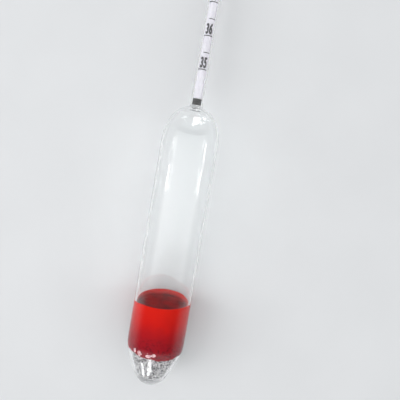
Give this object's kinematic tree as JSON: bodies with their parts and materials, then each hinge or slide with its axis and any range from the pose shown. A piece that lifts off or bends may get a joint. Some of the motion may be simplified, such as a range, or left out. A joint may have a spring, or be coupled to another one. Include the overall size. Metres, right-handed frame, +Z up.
{
  "type": "hydrometer",
  "caption": "Sealed glass hydrometer lying on its side, with red wax over metal shot in its pointed nose and a rolled paper density scale in its thin stem.",
  "frame": {"origin": "on the surface that the hydrometer lies on, under the middle of its whole length", "axes": "+X along the axis from the nose to the end of the stem; +Z up, through the front of the scale"},
  "size_m": [0.1634, 0.016, 0.016],
  "materials": {
    "glass": "clear blown glass",
    "shot": "fine dull steel shot",
    "wax": "translucent red sealing wax",
    "cement": "black cement",
    "paper": "smooth white paper",
    "ink": "black printing ink"
  },
  "bodies": {
    "root": {"glass_envelope": "glass", "ballast_shot": "shot", "ballast_wax": "wax", "scale_cement": "cement", "scale_paper": "paper", "scale_graduations": "ink"}
  },
  "joints": []
}
